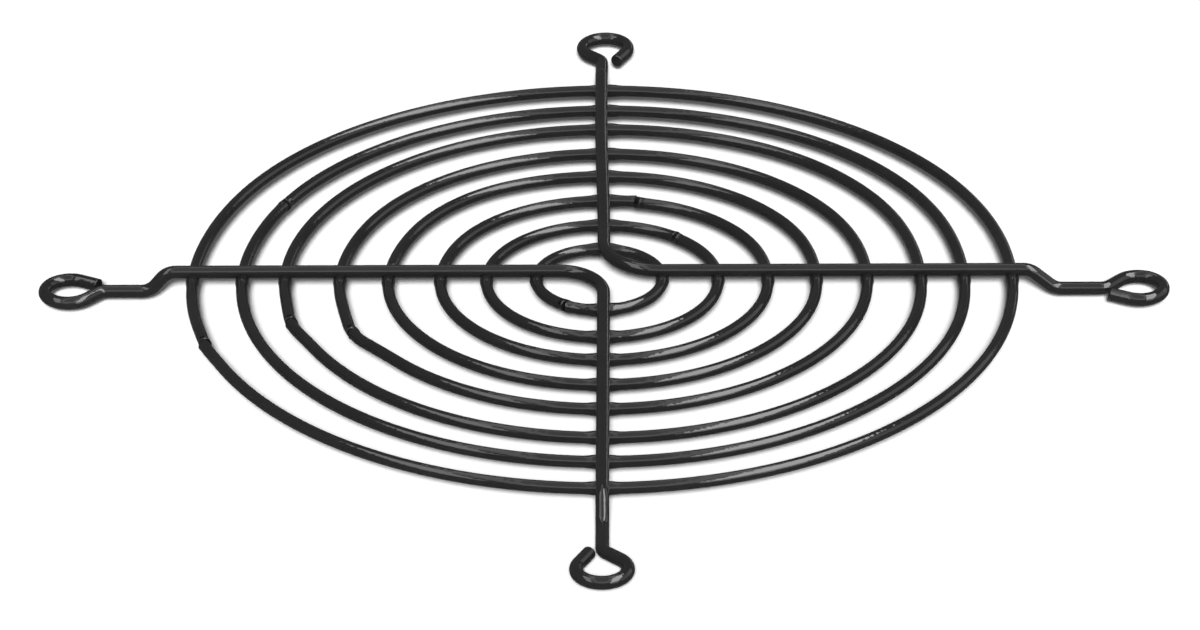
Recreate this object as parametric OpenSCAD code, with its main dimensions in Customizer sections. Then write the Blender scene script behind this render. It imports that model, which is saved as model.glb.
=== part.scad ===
// Wire fan guard: eight round-wire rings welded under two L-shaped support wires, whose four ends
// step down and curl into screw eyes. Millimetres, +Z up. The origin is the centre of the guard in
// the plane that the eyes bear on, and the fan blows through along Z.

/* [Mounting] */
// Side of the square that the four screw holes stand on
hole_spacing = 105; // [101:0.5:110]
// Bore of each screw eye
eye_bore_d = 5.1; // [4.7:0.1:5.8]
// Depth of the narrow land that the forming pin presses round the inside of an eye
eye_land = 0.1; // [0.08:0.01:0.14]

/* [Wire] */
// Diameter of the ring wire
ring_wire_d = 1.6; // [1.3:0.05:1.9]
// Diameter of the two support wires
support_wire_d = 1.8; // [1.6:0.05:2.1]
// How much thinner a wire is drawn where it is bent
bend_draw = 0.02; // [0.01:0.01:0.04]
// How far a ring and a support wire are pressed into each other at a weld
weld_set = 0.55; // [0.3:0.05:0.7]
// How far the metal squeezed out at a weld stands proud of the ring
weld_swell = 0.15; // [0.1:0.01:0.2]
// Half length of that swelling along a ring, less on the tightest rings
weld_swell_len = 2.4; // [1.8:0.1:3]

/* [Rings] */
// Centreline radius of ring 1, the innermost
ring_1_r = 8.7; // [7.8:0.1:10]
// Clear gap between rings 1 and 2
gap_1_2 = 5.7; // [4.8:0.1:6.5]
// Clear gap between rings 2 and 3
gap_2_3 = 5.2; // [4.4:0.1:6]
// Clear gap between rings 3 and 4
gap_3_4 = 5.5; // [4.6:0.1:6.3]
// Clear gap between rings 4 and 5
gap_4_5 = 5.1; // [4.3:0.1:5.9]
// Clear gap between rings 5 and 6
gap_5_6 = 6; // [5:0.1:6.8]
// Clear gap between rings 6 and 7
gap_6_7 = 4.5; // [4:0.1:5.3]
// Clear gap between rings 7 and 8, the outermost
gap_7_8 = 5; // [4.2:0.1:5.8]
// How much of the rings' scatter about the axis is kept, from none to all
ring_scatter = 1; // [0:0.1:1]
// Height of the upset bead where the two ends of a ring are butt welded
butt_bead = 0.14; // [0.06:0.02:0.2]
// Length of that bead along the ring
butt_bead_len = 1.2; // [0.9:0.1:1.8]

/* [Support wires] */
// Centreline radius of the bend near the centre, support wire A
hub_bend_a_r = 6.4; // [5:0.1:7.4]
// Centreline radius of the bend near the centre, support wire B
hub_bend_b_r = 8; // [5:0.1:8.6]
// Height of the step between a leg and its eye
joggle_drop = 3; // [2.2:0.1:4.2]
// Angle of the step's ramp
joggle_angle = 50; // [40:1:58]
// Angle of the ramp on the right leg, which is bent slacker than the rest
joggle_angle_right = 40; // [36:1:58]
// Centreline radius of the step's two bends
joggle_bend_r = 2.6; // [2:0.1:3]
// Straight stretch between the outermost ring and the step
joggle_lead = 2.4; // [1.9:0.1:3.2]
// The same stretch on the right leg
joggle_lead_right = 1.2; // [1:0.1:3.2]

/* [Screw eyes] */
// Angle at which the wire turns off the stem into the eye
eye_lead_angle = 47; // [44:1:54]
// Angle between the stem and the end of the wire, where it comes back
eye_tail_angle = 27; // [24:1:32]
// Length of that straight end
eye_tail_len = 3; // [2:0.1:3.1]
// Centreline radius of the reverse bend between the stem and the eye
eye_neck_r = 1.8; // [1.4:0.1:2.2]
// Edge taken off the wire's cut ends
end_chamfer = 0.15; // [0.08:0.01:0.3]

/* [Hidden] */

COAT = "#2c2c2e";
wire_fn = 48;      // facets round a wire
ring_fn = 144;     // facets round a ring
bend_fn = 96;      // facets round a whole bend
lap = 0.1;         // how far a straight run reaches over the bends beside it

// Centreline radius of ring number n: each ring stands its clear gap outside the one before
ring_gap = [gap_1_2, gap_2_3, gap_3_4, gap_4_5, gap_5_6, gap_6_7, gap_7_8];
function ring_r(n) = n == 1 ? ring_1_r : ring_r(n - 1) + ring_wire_d + ring_gap[n - 2];
outer_r = ring_r(len(ring_gap) + 1);

// Where each ring's butt weld stands round the axis, counted from +X
butt_at = [240, 50, 79, 176, 205, 197, 155, 199];
// How much of each end of a ring stays straight beside its butt weld
butt_straight = [1.2, 1.5, 3, 1.2, 10, 8, 1.5, 6];
// How far each ring's centre lies off the axis, as it was welded
ring_centre = [[-0.6, -0.4], [-0.2, -0.7], [0.1, -0.2], [-0.1, 0.1],
               [0.1, 0.3], [0.2, 0.3], [0.1, 0.1], [-0.2, -0.1]];

// Heights of the centrelines above the plane that the eyes bear on
eye_z = support_wire_d / 2;
leg_z = eye_z + joggle_drop;
ring_z = leg_z - (support_wire_d + ring_wire_d) / 2 + weld_set;

// Centre of an eye, out along its leg, and the eye's centreline radius
eye_x = hole_spacing / sqrt(2);
eye_r = eye_bore_d / 2 - eye_land + (support_wire_d - bend_draw) / 2;

// The step: the length of its straight ramp, and how far it reaches along the leg
function ramp_len(angle) = (joggle_drop - 2 * joggle_bend_r * (1 - cos(angle))) / sin(angle);
function joggle_len(angle) = 2 * joggle_bend_r * sin(angle) + ramp_len(angle) * cos(angle);

// The eye: where the stem starts to turn, and the straight stretch before the loop
neck_tangent = eye_neck_r * tan(eye_lead_angle / 2);
neck_x = eye_x - eye_r / sin(eye_lead_angle) - neck_tangent;
lead_len = eye_r / tan(eye_lead_angle) - neck_tangent;
loop_angle = 180 + eye_lead_angle + eye_tail_angle;

// A straight run of wire from the origin along +X. It laps a little over the bends at its ends.
module run(len, d) {
    translate([-lap, 0, 0]) rotate([0, 90, 0]) cylinder(d = d, h = len + 2 * lap, $fn = wire_fn);
}

// A bend from the origin, starting along +X and turning left, towards +Y
module bend(r, angle, d, facets = bend_fn) {
    translate([0, r, 0]) rotate([0, 0, -90]) rotate_extrude(angle = angle, $fn = facets)
        translate([r, 0]) circle(d = d - bend_draw, $fn = wire_fn);
}

// Moves what follows to the end of such a bend
module after_bend(r, angle) {
    translate([r * sin(angle), r * (1 - cos(angle)), 0]) rotate([0, 0, angle]) children();
}

// Moves what follows to the end of a straight run
module after_run(len) {
    translate([len, 0, 0]) children();
}

// The wire's last straight, with the edge taken off its cut end
module tail(len, d) {
    translate([-lap, 0, 0]) rotate([0, 90, 0]) rotate_extrude($fn = wire_fn)
        polygon([[0, 0], [d / 2, 0], [d / 2, lap + len - end_chamfer],
                 [d / 2 - end_chamfer, lap + len], [0, lap + len]]);
}

// The teardrop eye at the end of a stem. The wire turns off to the left, loops round to the right
// and comes back beside the stem. A forming pin leaves a narrow round land inside.
module eye() {
    difference() {
        translate([neck_x, 0, 0]) {
            bend(eye_neck_r, eye_lead_angle, support_wire_d);
            after_bend(eye_neck_r, eye_lead_angle) {
                run(lead_len, support_wire_d);
                after_run(lead_len) mirror([0, 1, 0]) {
                    bend(eye_r, loop_angle, support_wire_d);
                    after_bend(eye_r, loop_angle) tail(eye_tail_len, support_wire_d);
                }
            }
        }
        translate([eye_x, 0, -support_wire_d])
            cylinder(d = eye_bore_d, h = 2 * support_wire_d, $fn = bend_fn);
    }
}

// The step down from a leg to its stem, drawn in the XZ plane from the origin
module joggle(angle) {
    rotate([-90, 0, 0]) {
        bend(joggle_bend_r, angle, support_wire_d);
        after_bend(joggle_bend_r, angle) {
            run(ramp_len(angle), support_wire_d);
            after_run(ramp_len(angle)) mirror([0, 1, 0])
                bend(joggle_bend_r, angle, support_wire_d);
        }
    }
}

// The straight part of a leg along +X, from the bend near the centre to the step
module leg_straight(hub_r, lead = joggle_lead) {
    translate([hub_r, 0, leg_z]) run(outer_r + lead - hub_r, support_wire_d);
}

// One leg along +X with its step, stem and eye
module leg(hub_r, lead = joggle_lead, angle = joggle_angle) {
    joggle_x = outer_r + lead;
    stem_x = joggle_x + joggle_len(angle);
    leg_straight(hub_r, lead);
    translate([joggle_x, 0, leg_z]) joggle(angle);
    translate([stem_x, 0, eye_z]) run(neck_x - stem_x, support_wire_d);
    translate([0, 0, eye_z]) eye();
}

// The bend that joins a leg along +X to one along +Y
module hub_bend(hub_r) {
    translate([hub_r, 0, leg_z]) mirror([1, 0, 0]) bend(hub_r, 90, support_wire_d);
}

// A whole support wire, with its legs along +X and +Y
module support_wire(hub_r, lead = joggle_lead, angle = joggle_angle) {
    leg(hub_r, lead, angle);
    rotate([0, 0, 90]) leg(hub_r);
    hub_bend(hub_r);
}

// What a ring is pressed against: the legs and bends of both support wires
module welded_span() {
    for (side = [[0, hub_bend_b_r], [180, hub_bend_a_r]])
        rotate([0, 0, side[0]]) {
            leg_straight(side[1]);
            rotate([0, 0, 90]) leg_straight(side[1]);
            hub_bend(side[1]);
        }
}

// A round collar on a wire along Y: level as far as `level` each way, then tapering away into the
// wire by `reach`
module collar(wire_d, proud, level, reach) {
    root = wire_d / 2 + proud;
    tip = wire_d / 2 - proud / 2;
    rotate([90, 0, 0]) rotate_extrude($fn = wire_fn)
        polygon([[0, -reach], [tip, -reach], [root, -level], [root, level], [tip, reach], [0, reach]]);
}

// The metal that a weld squeezes out of a ring at (r, 0). It ends where a tight ring curves away.
module swelling(r) {
    translate([r, 0, 0]) collar(ring_wire_d, weld_swell, support_wire_d / 2,
                                min(weld_swell_len, sqrt(r * weld_swell)));
}

// A swelling at each of the four places where a ring round the point c crosses a leg
module swellings(r, c) {
    for (leg = [0, 90, 180, 270]) {
        across = c[1] * cos(leg) - c[0] * sin(leg);   // how far c lies to the left of the leg
        translate(c) rotate([0, 0, leg - asin(across / r)]) swelling(r);
    }
}

// The ring's wire: bent round, its two ends left straight and butt welded with a bead
module ring_wire(r, straight) {
    short = atan(straight / r);
    rotate([0, 0, short]) rotate_extrude(angle = 360 - 2 * short, $fn = ring_fn)
        translate([r, 0]) circle(d = ring_wire_d - bend_draw, $fn = wire_fn);
    for (way = [-1, 1])
        rotate([0, 0, way * short]) translate([r, -way * straight / 2, 0]) rotate([90, 0, 0])
            cylinder(d = ring_wire_d, h = straight + 2 * lap, center = true, $fn = wire_fn);
    translate([r / cos(short), 0, 0])
        collar(ring_wire_d, butt_bead, butt_bead_len / 4, butt_bead_len / 2);
}

// Ring number n, with its weld swellings, pressed up against the support wires
module ring(n) {
    r = ring_r(n);
    centre = ring_scatter * ring_centre[n - 1];
    color(COAT) difference() {
        translate([0, 0, ring_z]) {
            translate(centre) rotate([0, 0, butt_at[n - 1]]) ring_wire(r, butt_straight[n - 1]);
            swellings(r, centre);
        }
        welded_span();
    }
}

module support_wire_a() {
    color(COAT) rotate([0, 0, 180]) support_wire(hub_bend_a_r);
}

module support_wire_b() {
    color(COAT) support_wire(hub_bend_b_r, joggle_lead_right, joggle_angle_right);
}

ring(1);  // ring_1
ring(2);  // ring_2
ring(3);  // ring_3
ring(4);  // ring_4
ring(5);  // ring_5
ring(6);  // ring_6
ring(7);  // ring_7
ring(8);  // ring_8
support_wire_a();
support_wire_b();
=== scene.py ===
"""Looks for a wire fan guard: eight welded wire rings under two bent support wires with screw eyes.

Each CAD node is replaced by a finely swept wire of the same size and place, with the weld squeeze-out,
butt welds, cut ends and slight waviness of the real wires. Lengths are in millimetres until a mesh is made.
"""
import math

import bmesh
import bpy
from mathutils import Matrix, Vector


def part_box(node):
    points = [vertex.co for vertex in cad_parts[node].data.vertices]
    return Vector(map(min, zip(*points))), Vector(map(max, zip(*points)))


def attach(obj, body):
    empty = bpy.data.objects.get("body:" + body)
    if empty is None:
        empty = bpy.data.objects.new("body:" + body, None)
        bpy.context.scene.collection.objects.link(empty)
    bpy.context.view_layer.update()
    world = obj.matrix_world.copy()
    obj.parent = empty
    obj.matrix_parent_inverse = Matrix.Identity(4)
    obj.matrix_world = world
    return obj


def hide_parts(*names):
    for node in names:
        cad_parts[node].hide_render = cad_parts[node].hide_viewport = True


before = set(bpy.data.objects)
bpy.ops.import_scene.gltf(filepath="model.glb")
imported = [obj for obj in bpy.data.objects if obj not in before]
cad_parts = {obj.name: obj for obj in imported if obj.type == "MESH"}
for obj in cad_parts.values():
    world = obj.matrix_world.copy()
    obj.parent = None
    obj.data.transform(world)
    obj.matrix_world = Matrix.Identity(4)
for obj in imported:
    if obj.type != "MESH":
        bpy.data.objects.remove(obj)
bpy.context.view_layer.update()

MM = 0.001
SIDES = 32                      # facets round a wire
STEP = 0.5                      # distance between the cross-sections of a wire

# ---------------------------------------------------------------- sizes, as in the CAD part
RING_WIRE_R = 0.8
SUPPORT_WIRE_R = 0.9
WELD_SWELL = 0.15               # how far a ring bulges at a weld
WELD_SWELL_LEN = 2.6            # half length of that bulge
WELD_CORE_LEN = 0.8             # half length of its full middle, under the leg
HUB_BEND_R = {"a": 6.4, "b": 8.0}
JOGGLE_DROP = 3.0
JOGGLE_ANGLE = math.radians(50)
JOGGLE_ANGLE_RIGHT = math.radians(40)
JOGGLE_BEND_R = 2.6
JOGGLE_LEAD = 2.4
JOGGLE_LEAD_RIGHT = 1.2
EYE_BORE_R = 2.55
EYE_LAND = 0.1
EYE_LEAD_ANGLE = math.radians(47)
EYE_TAIL_ANGLE = math.radians(27)
EYE_TAIL_LEN = 3.0
EYE_NECK_R = 1.8
LOOP_EASE = 0.01                # how far the loop is drawn in, and its centre moved out
END_ROUND = 0.16                # rounding of the cut ends, under the coat
BUTT_ROUND = 0.03               # the same where the two ends of a ring are welded together
BUTT_MISS_LEN = 7.0             # length of ring over which the two ends part to miss each other
BUTT_CORNER_EASE = 0.3          # share of the corner at a butt weld that is rounded away
BUTT_CORNER_LEN = 1.2           # and how far it is rounded to each side
BUTT_BEAD = 0.07                # height of the bead on a butt weld
BUTT_BEAD_LEN = 0.5             # and its half length
BEND_STEPS = 10                 # cross-sections in each bend of a step down
FINE_STEP = 0.3                 # distance between the cross-sections of a short stretch

EYE_R = EYE_BORE_R - EYE_LAND + SUPPORT_WIRE_R - LOOP_EASE
EYE_Z = SUPPORT_WIRE_R
LEG_Z = EYE_Z + JOGGLE_DROP

# Butt weld of each ring: its direction from the centre in degrees, how much of each end stays straight,
# and how far the two ends miss each other
BUTT_WELDS = {
    1: (240, 1.2, 0.10),
    2: (50, 1.5, 0.10),
    3: (79, 3.0, 0.30),
    4: (176, 1.2, 0.05),
    5: (205, 10.0, 0.10),
    6: (197, 8.0, 0.10),
    7: (155, 1.5, 0.05),
    8: (199, 6.0, 0.16),
}
# Where each ring wanders in or out from its circle: direction in degrees, and how far
WANDER = {
    3: ((5, -0.2), (165, -0.2)),
    4: ((5, -0.4), (125, 0.3), (165, -0.4)),
    5: ((5, -0.25), (165, -0.2), (193, 0.25)),
    6: ((5, -0.55), (50, 0.2), (187, 0.2)),
    7: ((5, -0.55), (50, 0.15), (165, -0.2)),
    8: ((5, -0.15), (165, -0.3)),
}
WANDER_SPREAD = 17              # degrees each way over which such a wander fades
BACK_LEG_LEAN = 0.5             # how far the back leg leans aside before its eye
LEAN_RUN = 40                   # length of leg over which such a lean grows
LEAN_END = 2                    # and over which it goes back before the eye

# ---------------------------------------------------------------- studio values
FLOOR_DROP = 2.0                # how far the floor lies below the eyes
FLOOR_WIDTH = 6                 # in metres
FLOOR_REFLECTED = 0.1           # how bright the coat reflects the floor
ROOM_LEVEL = 0.14               # light of the room on the guard
CAMERA_AIM = (-0.536, -2.506, -1.733)
CAMERA_DISTANCE = 875.386
CARD_REACH = 1.5                # distance of the reflected cards, in metres
# Soft boxes that the coat reflects: strength, and the directions of the corners from the guard
CARDS = {
    "card_right": (7.5, [(0.386, -0.847, 0.366), (0.752, -0.54, 0.377), (0.587, 0.179, 0.789),
                         (0.35, 0.472, 0.809), (0.24, 0.243, 0.94)]),
    "card_right_low": (2.5, [(0.42, -0.9, 0.06), (0.8, -0.6, 0.06), (0.77, -0.55, 0.32),
                             (0.4, -0.86, 0.31)]),
    "card_right_side": (0.8, [(0.8, -0.6, 0.06), (0.87, 0.49, 0.06), (0.54, 0.64, 0.55),
                              (0.674, -0.362, 0.644)]),
    "card_left": (3, [(-0.467, -0.804, 0.368), (-0.69, -0.62, 0.375), (-0.425, 0.339, 0.839),
                      (-0.3, 0.1, 0.95)]),
    "card_back": (1.2, [(0.65, 0.72, 0.05), (0.25, 0.94, 0.05), (0.25, 0.94, 0.13),
                        (0.65, 0.72, 0.13)]),
}
# A grey panel overhead, and the outer edge of the brighter rim round it
PANEL_LEVEL = 0.6
RIM_LEVEL = 1.5
PANEL = [(-0.25, -0.69, 0.69), (0.24, -0.69, 0.69), (0.04, 0.66, 0.7), (-0.04, 0.66, 0.7)]
RIM = [(-0.322, -0.873, 0.366), (0.312, -0.877, 0.365), (0.06, 0.77, 0.637), (-0.06, 0.77, 0.637)]


def node_box(name):
    """Lowest and highest corner of a CAD node, in millimetres."""
    low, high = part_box(name)
    return Vector(low) / MM, Vector(high) / MM


# ---------------------------------------------------------------- wires

def arc(centre, start, end, radius, step=STEP):
    """Points on a circle in the plane z = centre.z, from one angle to another, without the last."""
    count = max(4, math.ceil(abs(end - start) * radius / step))
    return [centre + Vector((radius * math.cos(a), radius * math.sin(a), 0))
            for a in (start + (end - start) * i / count for i in range(count))]


def straight(start, end, step=STEP):
    """Points on a line, without the last."""
    count = max(1, math.ceil((end - start).length / step))
    return [start.lerp(end, i / count) for i in range(count)]


def lengths_along(points):
    """Distance of each point from the first, along the wire."""
    total = [0.0]
    for a, b in zip(points, points[1:]):
        total.append(total[-1] + (b - a).length)
    return total


def smooth(x):
    """0 below 0, 1 above 1, and a smooth step between."""
    x = min(1.0, max(0.0, x))
    return x * x * (3 - 2 * x)


def sweep(name, points, radii, node, end_round):
    """A wire along the points, with its radius at each, closed by flat cut ends with rounded edges."""
    mesh = bmesh.new()
    up = Vector((0, 0, 1))
    sections = []
    last = len(points) - 1
    for i, (point, radius) in enumerate(zip(points, radii)):
        tangent = (points[min(i + 1, last)] - points[max(i - 1, 0)]).normalized()
        side = tangent.cross(up).normalized()
        top = side.cross(tangent)
        ring = []
        for j in range(SIDES):
            turn = 2 * math.pi * j / SIDES
            ring.append(point + radius * (math.cos(turn) * side + math.sin(turn) * top))
        sections.append(ring)
    for end, inward in ((0, 1), (last, -1)):
        tip = points[end]
        axis = (points[end + inward] - tip).normalized()
        edge = []
        for k in range(1, 4):
            turn = math.pi / 2 * k / 3
            shrink = end_round * (1 - math.cos(turn))
            push = end_round * math.sin(turn)
            scale = (radii[end] - shrink) / radii[end]
            edge.append([tip + (v - tip) * scale - axis * push for v in sections[end]])
        sections = edge[::-1] + sections if end == 0 else sections + edge
    verts = [[mesh.verts.new(v * MM) for v in ring] for ring in sections]
    for a, b in zip(verts, verts[1:]):
        for j in range(SIDES):
            k = (j + 1) % SIDES
            mesh.faces.new((a[j], a[k], b[k], b[j])).smooth = True
    for ring in (verts[0][::-1], verts[-1]):
        mesh.faces.new(ring)
        for j in range(SIDES):
            mesh.edges.get((ring[j], ring[(j + 1) % SIDES])).smooth = False
    mesh.normal_update()
    bmesh.ops.recalc_face_normals(mesh, faces=mesh.faces)
    data = bpy.data.meshes.new(name)
    mesh.to_mesh(data)
    mesh.free()
    piece = bpy.data.objects.new(name, data)
    bpy.context.scene.collection.objects.link(piece)
    piece.data.materials.append(black_coat)
    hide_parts(node)
    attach(piece, "root")
    return piece


def wander(number, spoke):
    """How far a ring's wire lies off its circle, at this spoke from its centre."""
    direction = math.degrees(math.atan2(spoke.y, spoke.x))
    off = 0
    for at, reach in WANDER.get(number, ()):
        apart = (direction - at + 180) % 360 - 180
        off += reach * math.exp(-(apart / WANDER_SPREAD) ** 2)
    return spoke.normalized() * off


def ring_wire(number):
    """One ring: bent round from its butt weld to its butt weld, swollen where it is welded to a leg."""
    node = f"ring_{number}"
    low, high = node_box(node)
    centre = (low + high) / 2
    collar = RING_WIRE_R + WELD_SWELL
    radius = (high.x - low.x) / 2 - collar
    centre.z = low.z + collar
    weld_at, flat, miss = BUTT_WELDS[number]
    weld_at = math.radians(weld_at)
    short = math.atan(flat / radius)

    def at(angle, reach):
        return centre + Vector((reach * math.cos(angle), reach * math.sin(angle), 0))

    corner_round = BUTT_CORNER_EASE * radius * (1 / math.cos(short) - 1)
    corner = at(weld_at, radius / math.cos(short))
    first = at(weld_at + short, radius)
    points = straight(corner, first) + arc(centre, weld_at + short, weld_at + 2 * math.pi - short, radius)
    points += straight(at(weld_at - short, radius), corner) + [corner]
    total = lengths_along(points)
    outward = Vector((math.cos(weld_at), math.sin(weld_at), 0))
    placed = []
    radii = []
    for point, along in zip(points, total):
        left = total[-1] - along
        shift = 0.5 * miss * (1 - smooth(along / BUTT_MISS_LEN))
        shift -= 0.5 * miss * (1 - smooth(left / BUTT_MISS_LEN))
        from_butt = min(along, left)
        shift -= corner_round * math.exp(-(from_butt / BUTT_CORNER_LEN) ** 2)
        placed.append(point + outward * shift + wander(number, point - centre))
        from_leg = min(abs(point.x), abs(point.y))
        swell = WELD_SWELL * (1 - smooth((from_leg - WELD_CORE_LEN) / (WELD_SWELL_LEN - WELD_CORE_LEN)))
        bead = BUTT_BEAD * math.exp(-(from_butt / BUTT_BEAD_LEN) ** 2)
        radii.append(RING_WIRE_R + max(swell, bead))
    return sweep(f"wire_{node}", placed, radii, node, BUTT_ROUND)


def leg_points(joggle_x, joggle_angle, eye_x, hub_r, lean=0):
    """Centreline of a leg along +X, from the bend near the centre to the cut end beside the stem."""
    points = straight(Vector((hub_r, 0, LEG_Z)), Vector((joggle_x, 0, LEG_Z)))
    # the step down, in the XZ plane
    bend = JOGGLE_BEND_R
    ramp_drop = JOGGLE_DROP - 2 * bend * (1 - math.cos(joggle_angle))
    ramp_run = ramp_drop / math.tan(joggle_angle)
    for i in range(BEND_STEPS):
        a = joggle_angle * i / BEND_STEPS
        points.append(Vector((joggle_x + bend * math.sin(a), 0, LEG_Z - bend * (1 - math.cos(a)))))
    ramp_start = Vector((joggle_x + bend * math.sin(joggle_angle), 0,
                         LEG_Z - bend * (1 - math.cos(joggle_angle))))
    ramp_end = ramp_start + Vector((ramp_run, 0, -ramp_drop))
    points += straight(ramp_start, ramp_end, FINE_STEP)
    foot = ramp_end.x + bend * math.sin(joggle_angle)
    for i in range(BEND_STEPS):
        a = joggle_angle * (1 - i / BEND_STEPS)
        points.append(Vector((foot - bend * math.sin(a), 0, EYE_Z + bend * (1 - math.cos(a)))))
    # the stem, the reverse bend, the loop and the tail
    neck_tangent = EYE_NECK_R * math.tan(EYE_LEAD_ANGLE / 2)
    neck_x = eye_x - EYE_R / math.sin(EYE_LEAD_ANGLE) - neck_tangent
    points += straight(Vector((foot, 0, EYE_Z)), Vector((neck_x, 0, EYE_Z)))
    neck_centre = Vector((neck_x, EYE_NECK_R, EYE_Z))
    quarter = math.pi / 2
    points += arc(neck_centre, -quarter, -quarter + EYE_LEAD_ANGLE, EYE_NECK_R, 0.2)
    neck_end = neck_centre + EYE_NECK_R * Vector((math.sin(EYE_LEAD_ANGLE), -math.cos(EYE_LEAD_ANGLE), 0))
    eye = Vector((eye_x, 0, EYE_Z))
    loop_start = quarter + EYE_LEAD_ANGLE
    lead_end = eye + EYE_R * Vector((math.cos(loop_start), math.sin(loop_start), 0))
    points += straight(neck_end, lead_end, FINE_STEP)
    for point in points:
        grown = smooth((point.x - hub_r) / LEAN_RUN)
        point.y += lean * grown * (1 - smooth((point.x - neck_x) / LEAN_END))
    loop_end = loop_start - (math.pi + EYE_LEAD_ANGLE + EYE_TAIL_ANGLE)
    points += arc(eye, loop_start, loop_end, EYE_R, 0.25)
    tail_start = eye + EYE_R * Vector((math.cos(loop_end), math.sin(loop_end), 0))
    back = Vector((math.sin(loop_end), -math.cos(loop_end), 0))
    tail_end = tail_start + back * (EYE_TAIL_LEN - END_ROUND)
    points += straight(tail_start, tail_end, FINE_STEP) + [tail_end]
    return points


def support_wire(letter, turned):
    """One support wire: two legs and the bend that joins them, turned about Z by so many degrees."""
    node = f"support_wire_{letter}"
    low, high = node_box(node)
    eye_x = max(abs(v) for v in (*low.xy, *high.xy)) - EYE_R - SUPPORT_WIRE_R + LOOP_EASE
    ring_low, ring_high = node_box("ring_8")
    outer = (ring_high.x - ring_low.x) / 2 - RING_WIRE_R - WELD_SWELL
    hub_r = HUB_BEND_R[letter]
    if letter == "b":
        leg = leg_points(outer + JOGGLE_LEAD_RIGHT, JOGGLE_ANGLE_RIGHT, eye_x, hub_r)
        other = leg_points(outer + JOGGLE_LEAD, JOGGLE_ANGLE, eye_x, hub_r, BACK_LEG_LEAN)
    else:
        leg = leg_points(outer + JOGGLE_LEAD, JOGGLE_ANGLE, eye_x, hub_r)
        other = leg
    other = [Vector((-p.y, p.x, p.z)) for p in other]
    hub = arc(Vector((hub_r, hub_r, LEG_Z)), math.pi, 1.5 * math.pi, hub_r, FINE_STEP)
    turn = Matrix.Rotation(math.radians(turned), 3, "Z")
    points = [turn @ p for p in other[::-1] + hub[1:] + leg]
    return sweep(f"wire_{node}", points, [SUPPORT_WIRE_R] * len(points), node, END_ROUND)


# ---------------------------------------------------------------- the coat

def make_black_coat():
    """Glossy black powder coat: nearly even, with a faint orange peel."""
    material = bpy.data.materials.new("black_coat")
    material.use_nodes = True
    nodes = material.node_tree.nodes
    links = material.node_tree.links
    shader = nodes["Principled BSDF"]
    place = nodes.new("ShaderNodeTexCoord")

    peel = nodes.new("ShaderNodeTexNoise")
    peel.inputs["Scale"].default_value = 900
    peel.inputs["Detail"].default_value = 3
    links.new(place.outputs["Object"], peel.inputs["Vector"])
    bump = nodes.new("ShaderNodeBump")
    bump.inputs["Strength"].default_value = 0.2
    bump.inputs["Distance"].default_value = 0.0002
    links.new(peel.outputs["Fac"], bump.inputs["Height"])
    links.new(bump.outputs["Normal"], shader.inputs["Normal"])

    cloud = nodes.new("ShaderNodeTexNoise")
    cloud.inputs["Scale"].default_value = 160
    cloud.inputs["Detail"].default_value = 4
    links.new(place.outputs["Object"], cloud.inputs["Vector"])
    tone = nodes.new("ShaderNodeValToRGB")
    tone.color_ramp.elements[0].position = 0.3
    tone.color_ramp.elements[0].color = (0.020, 0.020, 0.0204, 1)
    tone.color_ramp.elements[1].position = 0.7
    tone.color_ramp.elements[1].color = (0.025, 0.025, 0.0254, 1)
    links.new(cloud.outputs["Fac"], tone.inputs["Fac"])
    links.new(tone.outputs["Color"], shader.inputs["Base Color"])
    gloss = nodes.new("ShaderNodeMapRange")
    gloss.inputs["To Min"].default_value = 0.03
    gloss.inputs["To Max"].default_value = 0.09
    links.new(cloud.outputs["Fac"], gloss.inputs["Value"])
    links.new(gloss.outputs["Result"], shader.inputs["Roughness"])
    return material


# ---------------------------------------------------------------- studio

def plane(name, width, depth):
    """A flat mesh of that size about the origin, facing +Z, in metres."""
    mesh = bmesh.new()
    bmesh.ops.create_grid(mesh, x_segments=1, y_segments=1, size=0.5)
    bmesh.ops.scale(mesh, vec=(width, depth, 1), verts=mesh.verts)
    data = bpy.data.meshes.new(name)
    mesh.to_mesh(data)
    mesh.free()
    thing = bpy.data.objects.new(name, data)
    bpy.context.scene.collection.objects.link(thing)
    return thing


def make_floor():
    """A white floor that keeps the guard's shadow. Reflected rays see it dimmed, so the coat stays dark."""
    floor = plane("floor", FLOOR_WIDTH, FLOOR_WIDTH)
    floor.location.z = -FLOOR_DROP * MM
    material = bpy.data.materials.new("floor_white")
    material.use_nodes = True
    nodes = material.node_tree.nodes
    links = material.node_tree.links
    nodes.clear()
    out = nodes.new("ShaderNodeOutputMaterial")
    rays = nodes.new("ShaderNodeLightPath")
    matt = nodes.new("ShaderNodeBsdfDiffuse")
    matt.inputs["Color"].default_value = (0.95, 0.95, 0.95, 1)
    dim = nodes.new("ShaderNodeEmission")
    dim.inputs["Strength"].default_value = FLOOR_REFLECTED
    seen = nodes.new("ShaderNodeMixShader")
    links.new(rays.outputs["Is Glossy Ray"], seen.inputs["Fac"])
    links.new(matt.outputs[0], seen.inputs[1])
    links.new(dim.outputs[0], seen.inputs[2])
    links.new(seen.outputs[0], out.inputs["Surface"])
    floor.data.materials.append(material)
    return floor


def reflection_card(name, strength, corners):
    """A glowing card that only shows as a reflection. Its corners are directions from the guard."""
    data = bpy.data.meshes.new(name)
    data.from_pydata([CARD_REACH * Vector(c) for c in corners], [], [tuple(range(len(corners)))])
    card = bpy.data.objects.new(name, data)
    bpy.context.scene.collection.objects.link(card)
    material = bpy.data.materials.new(name)
    material.use_nodes = True
    nodes = material.node_tree.nodes
    nodes.clear()
    out = nodes.new("ShaderNodeOutputMaterial")
    glow = nodes.new("ShaderNodeEmission")
    glow.inputs["Strength"].default_value = strength
    material.node_tree.links.new(glow.outputs[0], out.inputs["Surface"])
    data.materials.append(material)
    card.visible_camera = False
    card.visible_diffuse = False
    card.visible_shadow = False


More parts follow.
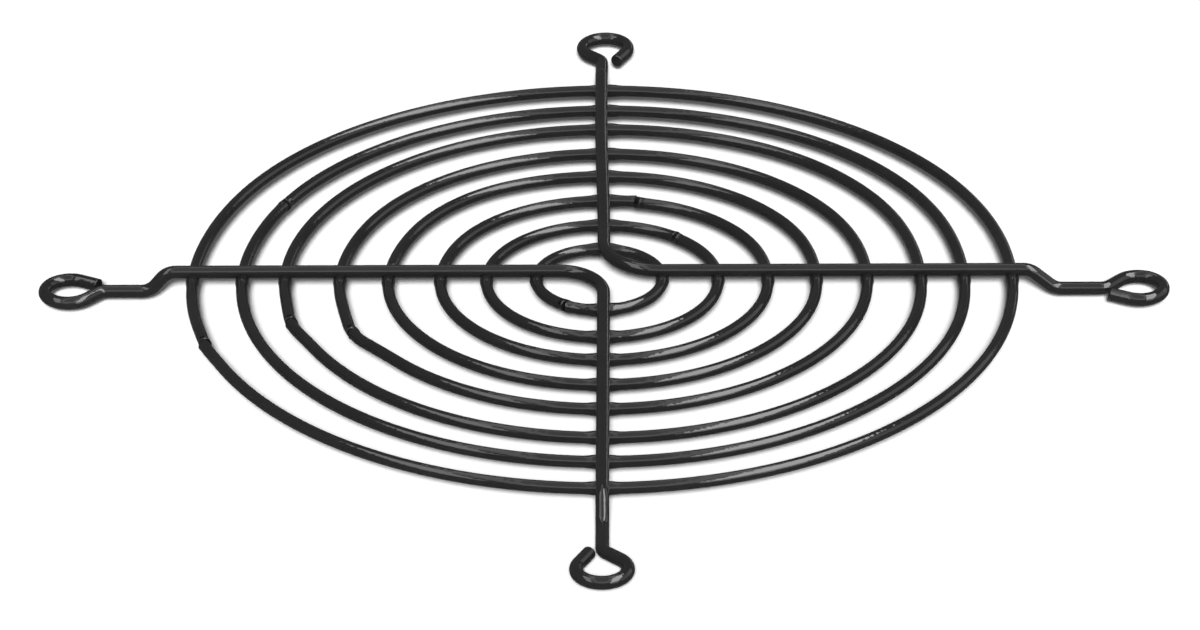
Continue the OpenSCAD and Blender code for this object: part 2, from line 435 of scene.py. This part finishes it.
def sun(name, energy, angle, tilt, things):
    """A distant lamp that lights only these things, tilted back from straight above by so many degrees."""
    lamp = bpy.data.lights.new(name, "SUN")
    lamp.energy = energy
    lamp.angle = math.radians(angle)
    holder = bpy.data.objects.new(name, lamp)
    bpy.context.scene.collection.objects.link(holder)
    holder.rotation_euler = (math.radians(tilt), 0, 0)
    holder.visible_glossy = False
    lit = bpy.data.collections.new(f"{name}_lights")
    for thing in things:
        lit.objects.link(thing)
    holder.light_linking.receiver_collection = lit


def make_lights(floor, wires):
    """Soft light on the guard, and a lamp that throws its shadow."""
    sun("key", 2.4, 60, 30, wires)
    sun("shadow_lamp", 5.75, 7, 57.3, [floor])


def make_cards():
    """What the coat reflects: the soft boxes, and the panel overhead inside its rim."""
    for name, (strength, corners) in CARDS.items():
        reflection_card(name, strength, corners)
    reflection_card("card_panel", PANEL_LEVEL, PANEL)
    for k in range(4):
        n = (k + 1) % 4
        reflection_card(f"card_rim_{k}", RIM_LEVEL, [RIM[k], RIM[n], PANEL[n], PANEL[k]])


def make_world():
    """White behind the guard for the camera, and a dim room for everything else."""
    world = bpy.data.worlds.new("studio")
    bpy.context.scene.world = world
    world.use_nodes = True
    nodes = world.node_tree.nodes
    links = world.node_tree.links
    nodes.clear()
    out = nodes.new("ShaderNodeOutputWorld")
    rays = nodes.new("ShaderNodeLightPath")
    shown = nodes.new("ShaderNodeBackground")
    shown.inputs["Strength"].default_value = 1
    room = nodes.new("ShaderNodeBackground")
    room.inputs["Strength"].default_value = ROOM_LEVEL
    mix = nodes.new("ShaderNodeMixShader")
    links.new(rays.outputs["Is Camera Ray"], mix.inputs["Fac"])
    links.new(room.outputs[0], mix.inputs[1])
    links.new(shown.outputs[0], mix.inputs[2])
    links.new(mix.outputs[0], out.inputs["Surface"])


def make_camera():
    """A long lens from the front, 29 degrees above the guard."""
    camera = bpy.data.cameras.new("camera")
    camera.lens = 189.45
    camera.sensor_width = 36
    holder = bpy.data.objects.new("camera", camera)
    bpy.context.scene.collection.objects.link(holder)
    bpy.context.scene.camera = holder
    aim = Vector(CAMERA_AIM) * MM
    heading, height, roll = math.radians(0.3856), math.radians(29.171), math.radians(-0.3756)
    turn = (Matrix.Rotation(heading, 3, "Z") @ Matrix.Rotation(math.pi / 2 - height, 3, "X")
            @ Matrix.Rotation(roll, 3, "Z"))
    holder.matrix_world = Matrix.Translation(aim + turn @ Vector((0, 0, CAMERA_DISTANCE * MM))) @ turn.to_4x4()


bpy.context.scene.view_settings.view_transform = "Standard"
black_coat = make_black_coat()
wires = [ring_wire(number) for number in BUTT_WELDS]
wires += [support_wire("a", 180), support_wire("b", 0)]
make_lights(make_floor(), wires)
make_cards()
make_world()
make_camera()
